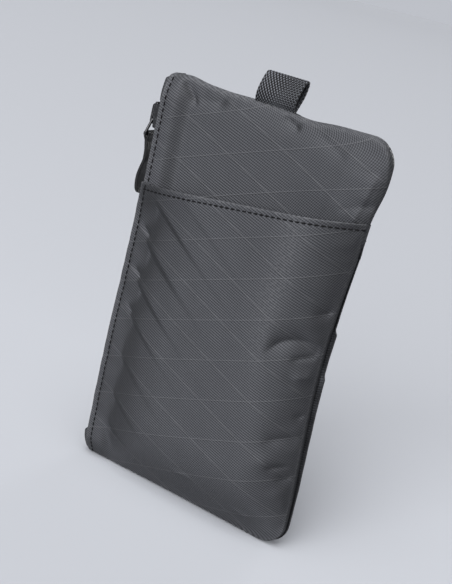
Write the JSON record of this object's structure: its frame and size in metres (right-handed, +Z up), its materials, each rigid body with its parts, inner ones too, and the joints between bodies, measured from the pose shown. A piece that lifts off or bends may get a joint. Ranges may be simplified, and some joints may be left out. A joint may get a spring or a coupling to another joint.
{
  "type": "zip pouch",
  "caption": "Slim upright zip pouch of dark laminated fabric with a slanted front slip pocket, a back slip pocket, a side zip with a pull strap and a webbing hang loop.",
  "frame": {"origin": "middle of the bottom edge, on the surface the pouch stands on", "axes": "+Z up the pouch, the front pocket faces -Y, the zip is on the -X side"},
  "size_m": [0.1172, 0.0219, 0.2034],
  "materials": {
    "shell": "laminated ripstop cloth, dark grey, fine diagonal rib, faint raised grid yarns",
    "lining": "plain woven lining",
    "zip_tape": "woven zip tape",
    "zip_coil": "nylon coil",
    "slider_metal": "black plated, semi-gloss",
    "pull_strap": "rubber-coated strap, smooth satin",
    "webbing": "coarse woven webbing"
  },
  "bodies": {
    "pouch": {"front_pocket_panel": "shell", "front_body_panel": "shell", "back_body_panel": "shell", "back_pocket_panel": "shell", "seam_allowance": "shell", "zip_end_tab_top": "shell", "zip_end_tab_bottom": "shell", "compartment_lining_front": "lining", "compartment_lining_back": "lining", "zip_tape_front": "zip_tape", "zip_tape_back": "zip_tape", "zip_coil_front": "zip_coil", "zip_coil_back": "zip_coil", "loop_tail": "webbing"},
    "slider": {"slider_body": "slider_metal", "slider_bail": "slider_metal"},
    "ring": {"pull_ring": "slider_metal"},
    "strap": {"pull_strap": "pull_strap"},
    "loop": {"top_loop": "webbing"}
  },
  "joints": [
    {"name": "zip_slide", "type": "slide", "parent": "pouch", "child": "slider", "axis": [0, 0, -1], "range_m": [0, 0.1515], "deforming": ["zip_coil_front", "zip_coil_back"]},
    {"name": "ring_swing", "type": "hinge", "parent": "slider", "child": "ring", "pos_m": [-0.0597, 0, 0.16775], "axis": [0, 1, 0], "range_deg": [0, 120]},
    {"name": "strap_swing", "type": "hinge", "parent": "ring", "child": "strap", "pos_m": [-0.0608, 0, 0.16084], "axis": [0, 1, 0], "range_deg": [0, 60]},
    {"name": "loop_flop", "type": "hinge", "parent": "pouch", "child": "loop", "pos_m": [0, 0, 0.1919], "axis": [1, 0, 0], "range_deg": [-60, 60], "stiffness_Nm_per_rad": 0.002}
  ]
}
